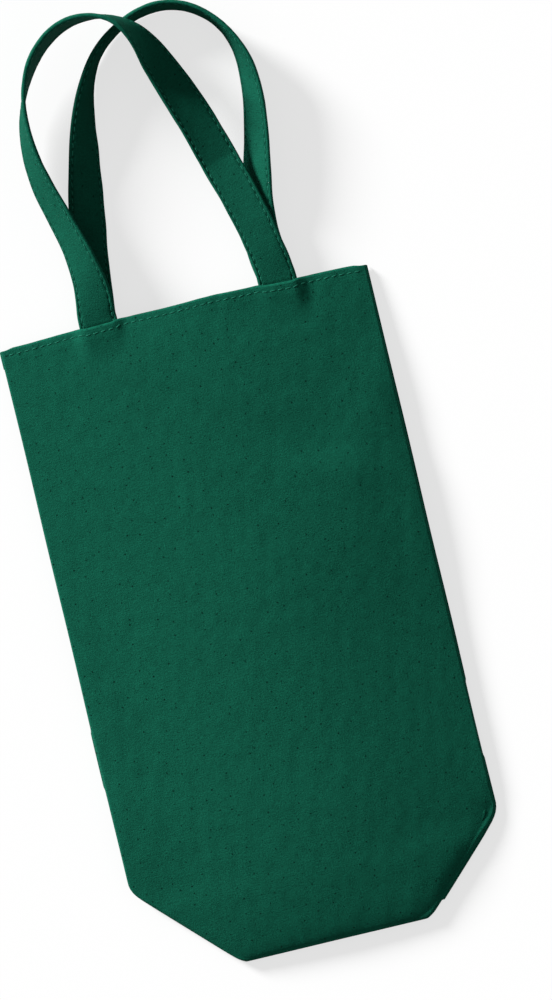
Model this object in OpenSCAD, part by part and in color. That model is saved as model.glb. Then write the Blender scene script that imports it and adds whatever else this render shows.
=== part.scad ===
// Bottle carrier: a flat cloth bag with a squared base, tucked up inside, and two long strap handles.
// It lies on its back: X runs across the bag, Y from the base fold towards the mouth and the
// handles, Z up out of the front. The origin is on the table, under the middle of the bag.

/* [Bag] */
// Width of the flat bag from side seam to side seam
bag_w = 200; // [180:1:240]
// Length of the flat bag from the base fold to the mouth
bag_h = 348; // [300:1:420]
// Depth of the squared base when the bag stands open
base_d = 100; // [80:1:120]
// Thickness of one layer of cloth
cloth_t = 0.8; // [0.6:0.05:1]
// Rounding where the long sides turn into the slanted corners
corner_blend = 3; // [1:0.5:10]
// How far the middle of the mouth edge stands out past its ends
mouth_bow = 2.3; // [0:0.1:6]

/* [Fullness] */
// Height of the front cloth above the table, at the middle of the bag
body_full = 17; // [16:0.5:24]
// Height of the front cloth above the table, at the middle of the mouth
mouth_full = 13.5; // [13:0.5:18]
// Length over which the front falls from full height to the mouth
mouth_fall = 90; // [40:1:150]
// Length over which the front rises from the base fold to full height
base_rise = 35; // [25:1:60]
// Opening of the folded pleat of the base
pleat_gap = 0.6; // [0.4:0.1:1]

/* [Hem and seams] */
// Depth of the rolled hem at the mouth
hem_d = 8; // [6:0.5:14]
// Width of the seam allowances inside the bag
seam_w = 8; // [5:0.5:10]
// Distance from the pressed side edge to the seam allowance
seam_inset = 3; // [3:0.5:6]
// Distance from the side edge to the end of the hem roll
hem_inset = 6; // [6:0.5:12]

/* [Handles] */
// Width of the strap
strap_w = 20.5; // [16:0.5:22]
// Thickness of the strap, four layers of cloth pressed flat
strap_t = 2.2; // [1.6:0.1:2.3]
// Distance between the middles of the two legs of one handle
leg_gap = 98; // [90:1:106]
// How far both handles are sewn to the right of the middle
leg_shift = 3.3; // [0:0.1:5]
// Reach of a handle past the mouth, to the middle of the strap
handle_reach = 159; // [140:1:220]
// Length of strap that is sewn inside the hem
tail_len = 12; // [8:0.5:16]
// Distance from the mouth line to where the strap starts to bend freely
loop_start = 1.5; // [1.4:0.1:3]

/* [Stitches] */
// Distance from one stitch to the next
stitch_pitch = 4.2; // [2.5:0.1:6]
// Length of one stitch as it shows on the cloth
stitch_len = 2.4; // [1.5:0.1:2.4]
// Width of the sewing thread
thread_w = 0.6; // [0.4:0.05:0.8]
// How high the thread stands on the cloth
thread_h = 0.35; // [0.2:0.05:0.5]
// Distance from the mouth edge to the hem stitches
hem_stitch_in = 4; // [3:0.5:6]
// Distance from the edge of the strap to its stitches
strap_stitch_in = 2; // [1.5:0.1:4]
// Distance between the rows that hold a strap end in the hem
tack_gap = 1.4; // [1.1:0.1:2.5]

/* [Hidden] */

// Colours: dyed cloth, the cloth in the shade of the folds, the straps and the thread
cloth_colour = [0.07, 0.33, 0.26];
shade_colour = [0.05, 0.25, 0.19];
strap_colour = [0.08, 0.36, 0.28];
thread_colour = [0.13, 0.44, 0.34];

// Gap left between layers that are pressed together but are separate pieces
layer_gap = 0.05;
// Gap between the sewn end of a strap and the loop that folds on it
loop_gap = 0.3;
// Gap left under the thread on curved and twisted cloth
thread_clear = 0.27;

// Plan of the flat bag
half_bag = bag_w / 2;
base_y = -bag_h / 2;
mouth_line = bag_h / 2;
base_half = (bag_w - base_d) / 2;
corner_y = base_y + base_d / 2;

// Levels of the folded base, from the table up
back_top = cloth_t;
allowance_t = 2 * cloth_t;
low_leaf = back_top + allowance_t;
high_leaf = low_leaf + cloth_t + pleat_gap;
base_rim = high_leaf + cloth_t;

// Grid of the front cloth
front_rows = 28;
front_half_cols = 10;
hem_cols = 24;
blend_rows = 24;
// Roundness of the front across the bag: a high value is flatter and falls faster at the sides
cross_power = 2.4;

// Ends of the seams that square the corners
corner_seam_start = base_y + seam_w;
corner_seam_end = corner_y - 2 * cloth_t;

// Hem roll and strap ends
hem_t = 2 * cloth_t;
leg_x = [leg_shift - leg_gap / 2, leg_shift + leg_gap / 2];

// Height of the lower face of the strap ends: under the front hem, and on top of the back hem
front_tail_z = front_at(leg_x[1] + strap_w / 2, mouth_line, cloth_t)
    - hem_t - strap_t - 3 * layer_gap;
back_tail_z = back_top + hem_t;

// Strap routes, walked from the left end to the right: place across the bag as a share of
// half the leg gap, place past the start as a share of the free reach, height, and tilt in
// degrees, where 0 lies flat and 90 stands on edge. The height is that of the lowest edge. For
// the front handle it is taken above its sewn ends, as a share of the strap width, and for
// the back handle it is taken above the table, as a share of the height of its sewn ends.
front_route_shares = [
    [-1.0, 0.0, 0.0, 0], [-1.0, 0.03, 0.0, 3], [-0.968, 0.08, -0.02, 16], [-0.99, 0.162, 0.0, 36],
    [-1.05, 0.258, -0.04, 50], [-1.135, 0.359, -0.12, 54], [-1.225, 0.46, -0.1, 56],
    [-1.29, 0.566, -0.06, 65], [-1.3, 0.675, 0.008, 76], [-1.24, 0.783, 0.078, 89],
    [-1.10, 0.878, 0.168, 101], [-0.905, 0.953, 0.278, 104], [-0.64, 1.003, 0.428, 102],
    [-0.345, 1.013, 0.588, 95], [-0.08, 0.988, 0.733, 83], [0.1, 0.924, 0.723, 66],
    [0.245, 0.838, 0.4, 38], [0.375, 0.732, 0.3, 25], [0.5, 0.626, 0.28, 15],
    [0.615, 0.515, 0.21, 6], [0.73, 0.394, 0.13, -3], [0.84, 0.278, 0.09, -13],
    [0.93, 0.157, 0.03, -15], [0.978, 0.075, 0.0, -9], [1.0, 0.03, 0.0, -2], [1.0, 0.0, 0.0, 0]
];
back_route_shares = [
    [-1.0, 0.0, 1.0, 0], [-1.0, 0.03, 0.98, 0], [-0.98, 0.08, 0.52, 2], [-0.95, 0.172, 0.256, 7],
    [-0.895, 0.283, 0.034, 16], [-0.82, 0.404, 0.034, 27], [-0.745, 0.526, 0.034, 40],
    [-0.67, 0.637, 0.034, 54], [-0.58, 0.738, 0.034, 69], [-0.455, 0.826, 0.034, 81],
    [-0.275, 0.902, 0.034, 84], [-0.01, 0.959, 0.034, 83], [0.26, 0.988, 0.034, 81],
    [0.54, 0.99, 0.034, 81], [0.8, 0.957, 0.034, 83], [1.01, 0.897, 0.034, 85],
    [1.155, 0.818, 0.034, 80], [1.215, 0.732, 0.034, 69], [1.215, 0.632, 0.034, 61],
    [1.165, 0.52, 0.034, 55], [1.08, 0.394, 0.034, 49], [0.985, 0.278, 0.034, 37],
    [0.935, 0.172, 0.171, 20], [0.958, 0.08, 0.52, 6], [1.0, 0.03, 0.98, 0], [1.0, 0.0, 1.0, 0]
];
rings_per_step = 6;

// Part of a step of the route over which its direction is taken
look = 0.02;

// Smooth step from 0 to 1
function ease(t) = t <= 0 ? 0 : t >= 1 ? 1 : t * t * (3 - 2 * t);

// The smaller of two values, blended where they are near each other
function soft_min(a, b, r) =
    let (h = max(r - abs(a - b), 0) / r)
    min(a, b) - h * h * r / 4;

// Half the width of the flat bag at a place along it
function half_at(y) = soft_min(half_bag, base_half + (y - base_y), corner_blend);

// The mouth edge, which bows outwards in the middle
function mouth_at(x) = mouth_line + mouth_bow / 2 - mouth_bow * pow(x / half_bag, 2);

// Height of the rim of the front cloth: it lies on the back at the side seams and on the
// folded base at the slanted corners
function rim_at(y) = back_top + (base_rim - back_top) * (1 - ease((y - corner_y) / base_rise));

// Height of the middle of the front cloth
function crown_at(y) =
    mouth_full + (body_full - mouth_full) * ease((mouth_line - y) / mouth_fall);

// Rise of the front cloth from the base fold, and its fall towards the sides
function rise_at(y) = sqrt(max(0, 1 - pow(max(0, 1 - (y - base_y) / base_rise), 2)));
function cross_at(s) = sqrt(max(0, 1 - pow(min(1, abs(s)), cross_power)));

// Height of the outside of the front cloth, or of its inside when depth is the cloth's thickness
function front_at(x, y, depth = 0) =
    let (s = x / max(half_at(y) - depth, depth + layer_gap))
    rim_at(y) + (crown_at(y) - depth - rim_at(y)) * cross_at(s) * rise_at(y);

// A point of the front cloth: across is -1 to 1, along is 0 at the base fold and 1 at the mouth
function front_point(across, along, depth) =
    let (y0 = base_y + depth,
         y_flat = y0 + along * (mouth_line - y0),
         x = across * (half_at(y_flat) - depth),
         y = y0 + along * (mouth_at(x) - y0))
    [x, y, rim_at(y) + (crown_at(y) - depth - rim_at(y)) * cross_at(across) * rise_at(y - depth)];

// Uniform cubic curve through a list of values, one step from values b to c
function spline(a, b, c, d, t) =
    (a * pow(1 - t, 3) + b * (3 * pow(t, 3) - 6 * t * t + 4)
        + c * (-3 * pow(t, 3) + 3 * t * t + 3 * t + 1) + d * pow(t, 3)) / 6;

// The routes in real sizes
function route_points(shares, ground, unit) =
    [for (p = shares) [
        leg_shift + p[0] * leg_gap / 2,
        mouth_line + loop_start + p[1] * (handle_reach - loop_start),
        ground + p[2] * unit,
        p[3]
    ]];

// A route with one point added at each end, so that the curve reaches its ends
function with_ends(p) =
    concat([2 * p[0] - p[1]], p, [2 * p[len(p) - 1] - p[len(p) - 2]]);
front_route = with_ends(route_points(front_route_shares, front_tail_z, strap_w));
back_route = with_ends(route_points(back_route_shares, 0, back_tail_z));

// The place at a step u of a route
function route_at(p, u) =
    let (i = min(floor(u), len(p) - 4), t = u - i)
    spline(p[i], p[i + 1], p[i + 2], p[i + 3], t);

// Where the strap is and how it stands, at a step u of its route: middle, direction, the way
// across towards the inside of the loop, and the way out of the strap's upper face
function strap_frame(p, u, side) =
    let (here = route_at(p, u),
         a = middle_of(route_at(p, max(u - look, 0))),
         b = middle_of(route_at(p, min(u + look, len(p) - 3))),
         run = (b - a) / norm(b - a),
         level = [run[1], -run[0], 0] / norm([run[1], -run[0]]),
         up = cross(level, run),
         tilt = here[3])
    [middle_of(here), run, level * cos(tilt) + up * side * sin(tilt),
        up * cos(tilt) - level * side * sin(tilt)];
function middle_of(q) =
    [q[0], q[1], q[2] + strap_w / 2 * abs(sin(q[3])) + strap_t / 2 * abs(cos(q[3]))];

// Faces of a closed solid between two grids of points that have the same rows and columns
function at(rows, cols, layer, i, j) = (layer * rows + i) * cols + j;
function quad(a, b, c, d) = [[a, b, c], [a, c, d]];
module between(upper, lower) {
    rows = len(upper);
    cols = len(upper[0]);
    points = [for (grid = [upper, lower]) for (row = grid) each row];
    top = [for (i = [0 : rows - 2]) for (j = [0 : cols - 2]) each
        quad(at(rows, cols, 0, i, j), at(rows, cols, 0, i + 1, j),
            at(rows, cols, 0, i + 1, j + 1), at(rows, cols, 0, i, j + 1))];
    under = [for (i = [0 : rows - 2]) for (j = [0 : cols - 2]) each
        quad(at(rows, cols, 1, i, j), at(rows, cols, 1, i, j + 1),
            at(rows, cols, 1, i + 1, j + 1), at(rows, cols, 1, i + 1, j))];
    sides = [for (i = [0 : rows - 2]) each concat(
        quad(at(rows, cols, 0, i, 0), at(rows, cols, 1, i, 0),
            at(rows, cols, 1, i + 1, 0), at(rows, cols, 0, i + 1, 0)),
        quad(at(rows, cols, 0, i, cols - 1), at(rows, cols, 0, i + 1, cols - 1),
            at(rows, cols, 1, i + 1, cols - 1), at(rows, cols, 1, i, cols - 1)))];
    ends = [for (j = [0 : cols - 2]) each concat(
        quad(at(rows, cols, 0, 0, j), at(rows, cols, 0, 0, j + 1),
            at(rows, cols, 1, 0, j + 1), at(rows, cols, 1, 0, j)),
        quad(at(rows, cols, 0, rows - 1, j), at(rows, cols, 1, rows - 1, j),
            at(rows, cols, 1, rows - 1, j + 1), at(rows, cols, 0, rows - 1, j + 1)))];
    polyhedron(points, concat(top, under, sides, ends), convexity = 8);
}

// A strap between its two ends: a flat band whose corners follow the strap frame
module strap(p, side) {
    steps = (len(p) - 3) * rings_per_step;
    frames = [for (k = [0 : steps]) strap_frame(p, k / rings_per_step, side)];
    upper = [for (f = frames) [for (edge = [-1, 1])
        f[0] + f[2] * edge * strap_w / 2 + f[3] * strap_t / 2]];
    lower = [for (f = frames) [for (edge = [-1, 1])
        f[0] + f[2] * edge * strap_w / 2 - f[3] * strap_t / 2]];
    between(upper, lower);
}

// One stitch lying along the first direction of a frame, on the face that the third points out of
module stitch(place, along, across, out) {
    multmatrix([
        [along[0], across[0], out[0], place[0]],
        [along[1], across[1], out[1], place[1]],
        [along[2], across[2], out[2], place[2]],
        [0, 0, 0, 1]
    ])
        translate([-stitch_len / 2, -thread_w / 2, layer_gap])
            cube([stitch_len, thread_w, thread_h]);
}

// The sums of the first entries of a list, from none of them to all
function running_total(list) =
    [for (k = 0, sum = 0; k <= len(list);
        sum = sum + (k < len(list) ? list[k] : 0), k = k + 1) sum];

// The place in the middle of the strap's thickness that one of its rows of stitches passes
function row_spot(p, u, side, edge) =
    let (f = strap_frame(p, u, side))
    f[0] + f[2] * edge * (strap_w / 2 - strap_stitch_in);

// Stitches along one edge of a strap, on both of its faces: edge is 1 on the inside of the loop
module strap_stitches(p, side, edge) {
    marks = [for (k = [0 : (len(p) - 3) * rings_per_step])
        strap_frame(p, k / rings_per_step, side)[0]];
    run = [for (k = [0 : len(marks) - 2]) norm(marks[k + 1] - marks[k])];
    far = running_total(run);
    count = floor((far[len(run)] - 2 * stitch_len) / stitch_pitch);
    for (n = [0 : count]) {
        u = lookup(stitch_len + n * stitch_pitch,
            [for (k = [0 : len(far) - 1]) [far[k], k / rings_per_step]]);
        last = len(p) - 3;
        ahead = row_spot(p, min(u + look, last), side, edge)
            - row_spot(p, max(u - look, 0), side, edge);
        along = ahead / norm(ahead);
        tip = cross(along, -strap_frame(p, u, side)[2]);
        out = tip / norm(tip);
        across = cross(out, along);
        row = row_spot(p, u, side, edge);
        face = out * (strap_t / 2 + thread_clear);
        stitch(row + face, along, across, out);
        stitch(row - face, along, -across, -out);
    }
}

// A straight row of stitches on a level face
module level_row(from, to, z, up = 1) {
    run = norm(to - from);
    dir = (to - from) / run;
    count = floor((run - stitch_len) / stitch_pitch);
    for (n = [0 : count]) {
        spot = from + dir * (stitch_len / 2 + n * stitch_pitch);
        stitch([spot[0], spot[1], z], [dir[0], dir[1], 0],
            [-dir[1] * up, dir[0] * up, 0], [0, 0, up]);
    }
}

module front_panel() {
    alongs = [for (i = [0 : front_rows]) 1 - cos(90 * i / front_rows)];
    acrosses = [for (j = [-front_half_cols : front_half_cols]) sin(90 * j / front_half_cols)];
    color(cloth_colour)
        between([for (v = alongs) [for (s = acrosses) front_point(s, v, 0)]],
            [for (v = alongs) [for (s = acrosses) front_point(s, v, cloth_t)]]);
}

module back_panel() {
    side_y = [for (i = [0 : blend_rows])
        corner_y + corner_blend * (i / blend_rows * 2 - 1)];
    color(cloth_colour)
        linear_extrude(cloth_t)
            polygon(concat(
                [[-base_half, base_y], [base_half, base_y]],
                [for (y = side_y) [half_at(y), y]],
                [[half_bag, mouth_at(half_bag)], [-half_bag, mouth_at(half_bag)]],
                [for (i = [blend_rows : -1 : 0]) [-half_at(side_y[i]), side_y[i]]]));
}

// The base, folded in half and tucked up inside: back nose, low leaf, inner fold, high leaf
module base_gusset() {
    fold_y = corner_y;
    inside = fold_y - cloth_t;
    color(shade_colour)
        translate([-base_half + layer_gap, 0, 0])
            rotate([90, 0, 90])
                linear_extrude(2 * (base_half - layer_gap))
                    polygon([
                        [base_y, back_top], [base_y + cloth_t, back_top],
                        [base_y + cloth_t, low_leaf], [fold_y, low_leaf],
                        [fold_y, base_rim], [base_y, base_rim],
                        [base_y, high_leaf], [inside, high_leaf],
                        [inside, low_leaf + cloth_t], [base_y, low_leaf + cloth_t]
                    ]);
}

// Plan of a corner fold: a triangle under the slanted corner, drawn for the right side
module corner_plan(inset = 0) {
    reach = base_d / 2 - corner_blend - inset;
    polygon([
        [base_half + layer_gap, base_y + inset + layer_gap],
        [base_half + layer_gap, corner_y],
        [base_half + reach, corner_y],
        [base_half + reach, base_y + reach + inset + layer_gap]
    ]);
}

// The side of the bag near the base, folded in on itself under a slanted corner
module corner_fold() {
    difference() {
        translate([0, 0, back_top])
            linear_extrude(low_leaf + cloth_t - back_top)
                corner_plan();
        translate([0, 0, back_top - layer_gap])
            linear_extrude(low_leaf - back_top + layer_gap)
                translate([-layer_gap - cloth_t, cloth_t + layer_gap])
                    corner_plan(cloth_t);
    }
    translate([0, 0, high_leaf])
        linear_extrude(cloth_t)
            corner_plan();
    translate([base_half + layer_gap, corner_y - cloth_t, low_leaf])
        cube([base_d / 2 - corner_blend - layer_gap, cloth_t, base_rim - low_leaf]);
}
module left_corner_fold() {
    color(shade_colour) mirror([1, 0, 0]) corner_fold();
}
module right_corner_fold() {
    color(shade_colour) corner_fold();
}

module front_hem() {
    color(cloth_colour)
        between(hem_grid(layer_gap), hem_grid(layer_gap + hem_t));
}
function hem_grid(below) =
    [for (i = [0, 1]) [for (j = [0 : hem_cols])
        let (x = (half_bag - hem_inset) * (2 * j / hem_cols - 1),
             y = mouth_at(x) - hem_d * (1 - i))
        [x, y, front_at(x, y, cloth_t) - below]]];

module back_hem() {
    color(cloth_colour)
        translate([hem_inset - half_bag, mouth_at(half_bag) - hem_d, back_top])
            cube([2 * (half_bag - hem_inset), hem_d, hem_t]);
}

// A side seam's allowance, pressed onto the back
module side_seam() {
    low_end = corner_y + seam_w;
    high_end = mouth_at(half_bag) - hem_d - layer_gap;
    translate([half_bag - seam_inset - seam_w, low_end, back_top])
        cube([seam_w, high_end - low_end, allowance_t]);
}
module left_side_seam() {
    color(shade_colour) mirror([1, 0, 0]) side_seam();
}
module right_side_seam() {
    color(shade_colour) side_seam();
}
module side_seam_stitches() {
    x = half_bag - seam_inset - seam_w / 2;
    level_row([x, corner_y + seam_w], [x, mouth_at(half_bag) - hem_d],
        back_top + allowance_t);
}
module left_side_seam_stitches() {
    color(thread_colour) mirror([1, 0, 0]) side_seam_stitches();
}
module right_side_seam_stitches() {
    color(thread_colour) side_seam_stitches();
}

// The seam that squares a corner: its allowance lies on both leaves of the folded base
module corner_seam() {
    for (z = [back_top, base_rim])
        translate([base_half - seam_w, corner_seam_start, z])
            cube([seam_w, corner_seam_end - corner_seam_start, allowance_t - layer_gap]);
}
module left_corner_seam() {
    color(shade_colour) mirror([1, 0, 0]) corner_seam();
}
module right_corner_seam() {
    color(shade_colour) corner_seam();
}
module corner_seam_stitches() {
    x = base_half - seam_w / 2;
    level_row([x, corner_seam_start], [x, corner_seam_end], base_rim + allowance_t - layer_gap);
}
module left_corner_seam_stitches() {
    color(thread_colour) mirror([1, 0, 0]) corner_seam_stitches();
}
module right_corner_seam_stitches() {
    color(thread_colour) corner_seam_stitches();
}

module front_handle() {
    color(strap_colour) strap(front_route, 1);
}
module back_handle() {
    color(strap_colour) strap(back_route, -1);
}

// The two sewn ends of a handle, level in the hem, with the bottom face at z
module tails(z) {
    for (x = leg_x)
        translate([x - strap_w / 2, mouth_line - tail_len, z])
            cube([strap_w, tail_len + loop_start - loop_gap, strap_t]);
}
module front_handle_tails() {
    color(strap_colour) tails(front_tail_z);
}
module back_handle_tails() {
    color(strap_colour) tails(back_tail_z);
}

// Rows across the sewn ends, a short way apart
module tack_rows(z, up) {
    for (x = leg_x)
        for (k = [0, 1])
            level_row([x - strap_w / 2 + thread_w, mouth_line - hem_stitch_in - k * tack_gap],
                [x + strap_w / 2 - thread_w, mouth_line - hem_stitch_in - k * tack_gap], z, up);
}
module front_tail_stitches() {
    color(thread_colour) tack_rows(front_tail_z, -1);
}
module back_tail_stitches() {
    color(thread_colour) tack_rows(back_tail_z + strap_t, 1);
}

// The hem row on the outside of the front, which follows its curve
module front_hem_stitches() {
    reach = half_bag - hem_inset;
    count = floor(2 * reach / stitch_pitch);
    color(thread_colour)
        for (n = [0 : count]) {
            x = n * stitch_pitch - count * stitch_pitch / 2;
            y = mouth_at(x) - hem_stitch_in;
            a = surface_spot(x - stitch_len / 2);
            b = surface_spot(x + stitch_len / 2);
            run = (b - a) / norm(b - a);
            across = cross([0, 0, 1], run) / norm(cross([0, 0, 1], run));
            top = max(a[2], b[2], front_at(x, y)) + thread_clear;
            stitch([x, y, top], run, across, cross(run, across));
        }
}
function surface_spot(x) =
    let (y = mouth_at(x) - hem_stitch_in)
    [x, y, front_at(x, y)];

// The hem row inside the back, which stops at the strap ends, where their own rows take over
module back_hem_stitches() {
    reach = half_bag - hem_inset;
    y = mouth_at(half_bag) - hem_stitch_in;
    beside = strap_w / 2 + thread_w;
    stops = [-reach, leg_x[0] - beside, leg_x[0] + beside, leg_x[1] - beside, leg_x[1] + beside, reach];
    color(thread_colour)
        for (k = [0, 2, 4])
            level_row([stops[k], y], [stops[k + 1], y], back_top + hem_t);
}

module front_handle_inner_stitches() {
    color(thread_colour) strap_stitches(front_route, 1, 1);
}
module front_handle_outer_stitches() {
    color(thread_colour) strap_stitches(front_route, 1, -1);
}
module back_handle_inner_stitches() {
    color(thread_colour) strap_stitches(back_route, -1, 1);
}
module back_handle_outer_stitches() {
    color(thread_colour) strap_stitches(back_route, -1, -1);
}

front_panel();
back_panel();
base_gusset();
left_corner_fold();
right_corner_fold();
front_hem();
back_hem();
left_side_seam();
right_side_seam();
left_corner_seam();
right_corner_seam();
front_handle();
back_handle();
front_handle_tails();
back_handle_tails();
front_hem_stitches();
back_hem_stitches();
left_side_seam_stitches();
right_side_seam_stitches();
left_corner_seam_stitches();
right_corner_seam_stitches();
front_handle_inner_stitches();
front_handle_outer_stitches();
back_handle_inner_stitches();
back_handle_outer_stitches();
front_tail_stitches();
back_tail_stitches();
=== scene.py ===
from types import SimpleNamespace

import bpy
import numpy as np
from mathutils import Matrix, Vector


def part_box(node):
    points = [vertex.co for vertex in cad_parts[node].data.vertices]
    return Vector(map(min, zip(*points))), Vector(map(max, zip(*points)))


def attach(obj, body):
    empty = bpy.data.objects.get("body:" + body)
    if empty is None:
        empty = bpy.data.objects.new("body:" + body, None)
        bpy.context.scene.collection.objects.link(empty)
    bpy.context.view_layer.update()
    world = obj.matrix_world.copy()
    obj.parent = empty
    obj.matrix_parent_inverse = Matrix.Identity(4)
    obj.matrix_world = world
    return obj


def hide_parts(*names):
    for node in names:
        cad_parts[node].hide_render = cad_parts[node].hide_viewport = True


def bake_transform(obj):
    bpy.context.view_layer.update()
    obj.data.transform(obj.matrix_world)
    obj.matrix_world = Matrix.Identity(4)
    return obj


bl_info = {
    "name": "Bottle Carrier",
    "version": (1, 0, 0),
    "blender": (4, 5, 0),
    "location": "3D Viewport > Sidebar > Carrier",
    "description": "Dresses a flat cotton bottle carrier: its cloth, straps and stitches",
    "category": "Object",
}

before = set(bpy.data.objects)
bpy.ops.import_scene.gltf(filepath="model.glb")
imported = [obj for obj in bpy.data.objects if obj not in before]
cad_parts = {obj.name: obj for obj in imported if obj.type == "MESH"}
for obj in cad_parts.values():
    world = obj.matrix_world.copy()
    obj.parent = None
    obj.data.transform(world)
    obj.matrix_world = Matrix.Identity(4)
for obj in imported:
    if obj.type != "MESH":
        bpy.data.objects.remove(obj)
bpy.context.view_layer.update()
BACK_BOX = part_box("back_panel")

# The two strap loops, in shares: across (1 is half the gap between the legs), along (0 where
# the strap leaves the hem, 1 at the reach), height of the lowest edge (in strap widths above
# the sewn ends for the front; 0 on the table and 1 at the sewn ends for the back), and turn in
# degrees
FRONT_ROUTE = [
    (-1.0, 0.0, 0.0, 0), (-1.0, 0.03, 0.0, 3), (-0.968, 0.08, -0.02, 16),
    (-0.99, 0.162, 0.0, 36), (-1.05, 0.258, -0.04, 50), (-1.135, 0.359, -0.12, 54),
    (-1.225, 0.46, -0.1, 56), (-1.29, 0.566, -0.06, 65), (-1.3, 0.675, 0.008, 76),
    (-1.24, 0.783, 0.078, 89), (-1.10, 0.878, 0.168, 101), (-0.905, 0.953, 0.278, 104),
    (-0.64, 1.003, 0.428, 102), (-0.345, 1.013, 0.588, 95), (-0.08, 0.988, 0.733, 83),
    (0.1, 0.924, 0.723, 66), (0.245, 0.838, 0.4, 38), (0.375, 0.732, 0.3, 25),
    (0.5, 0.626, 0.28, 15), (0.615, 0.515, 0.21, 6), (0.73, 0.394, 0.13, -3),
    (0.84, 0.278, 0.09, -13), (0.93, 0.157, 0.03, -15), (0.978, 0.075, 0.0, -9),
    (1.0, 0.03, 0.0, -2), (1.0, 0.0, 0.0, 0),
]
BACK_ROUTE = [
    (-1.0, 0.0, 1.0, 0), (-1.0, 0.03, 0.98, 0), (-0.98, 0.08, 0.52, 2),
    (-0.95, 0.172, 0.256, 7), (-0.895, 0.283, 0.034, 16), (-0.82, 0.404, 0.034, 27),
    (-0.745, 0.526, 0.034, 40), (-0.67, 0.637, 0.034, 54), (-0.58, 0.738, 0.034, 69),
    (-0.455, 0.826, 0.034, 81), (-0.275, 0.902, 0.034, 84), (-0.01, 0.959, 0.034, 83),
    (0.26, 0.988, 0.034, 81), (0.54, 0.99, 0.034, 81), (0.8, 0.957, 0.034, 83),
    (1.01, 0.897, 0.034, 85), (1.155, 0.818, 0.034, 80), (1.215, 0.732, 0.034, 69),
    (1.215, 0.632, 0.034, 61), (1.165, 0.52, 0.034, 55), (1.08, 0.394, 0.034, 49),
    (0.985, 0.278, 0.034, 37), (0.935, 0.172, 0.171, 20), (0.958, 0.08, 0.52, 6),
    (1.0, 0.03, 0.98, 0), (1.0, 0.0, 1.0, 0),
]

# Soft swells and hollows of the front, in millimetres: place across and along,
# direction in degrees, half length, half width and height
FRONT_FOLDS = np.array([
    (10, 15, 90, 120, 48, 2.6), (-100, 0, 90, 130, 16, 1.5), (75, 40, 0, 45, 40, 2.2),
    (88, 100, 60, 45, 16, 1.6), (60, 168, 10, 45, 16, -1.4), (-38, 180, 0, 45, 20, -3.0),
    (-95, -95, 90, 40, 22, 1.8), (50, 84, 150, 35, 12, -1.4), (0, -160, 0, 60, 20, -1.0),
    (66, 70, 165, 35, 12, 1.4), (98, 40, 90, 70, 12, 1.2),
])

STRAPS = (("front", FRONT_ROUTE, 1), ("back", BACK_ROUTE, -1))

# One millimetre in metres: shapes are worked out in millimetres, and meshes are in metres
MM = 0.001
# The slanted cuts lie at 45 degrees
COS_45 = 0.7071


def ease(t):
    """Smooth step from 0 to 1: three times the square less twice the cube."""
    t = np.clip(t, 0, 1)
    return t * t * (3 - 2 * t)


def quarter(t):
    """Height of a quarter circle of radius 1 at distance t from its foot."""
    t = np.clip(t, 0, 1)
    return np.sqrt(t * (2 - t))


def soft_min(a, b, r):
    """The smaller of two values, rounded where they are nearer each other than r."""
    h = np.maximum(r - np.abs(a - b), 0) / r
    return np.minimum(a, b) - h * h * r / 4


def window(v, low, high, soft):
    """1 between low and high, 0 outside, with eased ends as long as soft."""
    return ease((v - low) / soft + 0.5) * ease((high - v) / soft + 0.5)


def bell(v, width):
    """A bell curve that is 1 at 0 and falls off over the width."""
    return np.exp(-(v / width) ** 2)


def ripples(x, y, seed, count, short, long, size):
    """A sum of sine waves in random directions, with lengths between short and long, whose
    root mean square is size."""
    rng = np.random.default_rng(seed)
    lengths = np.exp(rng.uniform(np.log(short), np.log(long), count))
    turns = rng.uniform(0, np.pi, count)
    starts = rng.uniform(0, 2 * np.pi, count)
    shares = np.sqrt(lengths / long)
    total = 0
    for length, turn, start, share in zip(lengths, turns, starts, shares):
        along = x * np.cos(turn) + y * np.sin(turn)
        total = total + share * np.sin(2 * np.pi * along / length + start)
    return size * total / np.sqrt(np.sum(shares ** 2) / 2)


def swells(x, y, folds):
    """The sum of long bell-shaped swells, each turned to its own direction."""
    total = 0
    for cx, cy, turn, length, width, high in folds:
        c, s = np.cos(np.radians(turn)), np.sin(np.radians(turn))
        u = (x - cx) * c + (y - cy) * s
        v = (y - cy) * c - (x - cx) * s
        total = total + high * bell(u, length) * bell(v, width)
    return total


def steps(total, near, spacing, far=None):
    """Distances from 0 to the total: the given ones near its start, then even steps, then
    the given ones before its end."""
    ends = np.array([0.0]) if far is None else np.array(far)
    first, last = near[-1], total - ends.max()
    middle = np.linspace(first, last, max(int(round((last - first) / spacing)), 1) + 1)
    return np.concatenate([np.array(near[:-1]), middle[:-1], total - np.sort(ends)[::-1]])


def run_lengths(points):
    """The distance from a line's first point to each of its points, along the line."""
    return np.concatenate([[0], np.cumsum(np.linalg.norm(np.diff(points, axis=0), axis=1))])


def sampled(at, far, rows):
    """Rows of numbers read at given distances, where far is the distance of each row."""
    return np.stack([np.interp(at, far, rows[:, k]) for k in range(rows.shape[1])], axis=-1)


def placed(at, far, line, reach=0.8):
    """A line's points at given distances, and its direction there, from a little behind each
    point to a little ahead of it."""
    return sampled(at, far, line), sampled(at + reach, far, line) - sampled(at - reach, far, line)


def signed_power(v, power):
    """The size of a value raised to a power, with the value's own sign."""
    return np.sign(v) * np.abs(v) ** power


def unit(v):
    """Vectors with their lengths made 1."""
    return v / np.maximum(np.linalg.norm(v, axis=-1, keepdims=True), 1e-9)


def grid_normals(grid):
    """Unit normals of a grid of points: the cross product of its two directions."""
    return unit(np.cross(np.gradient(grid, axis=1), np.gradient(grid, axis=0)))


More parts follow.
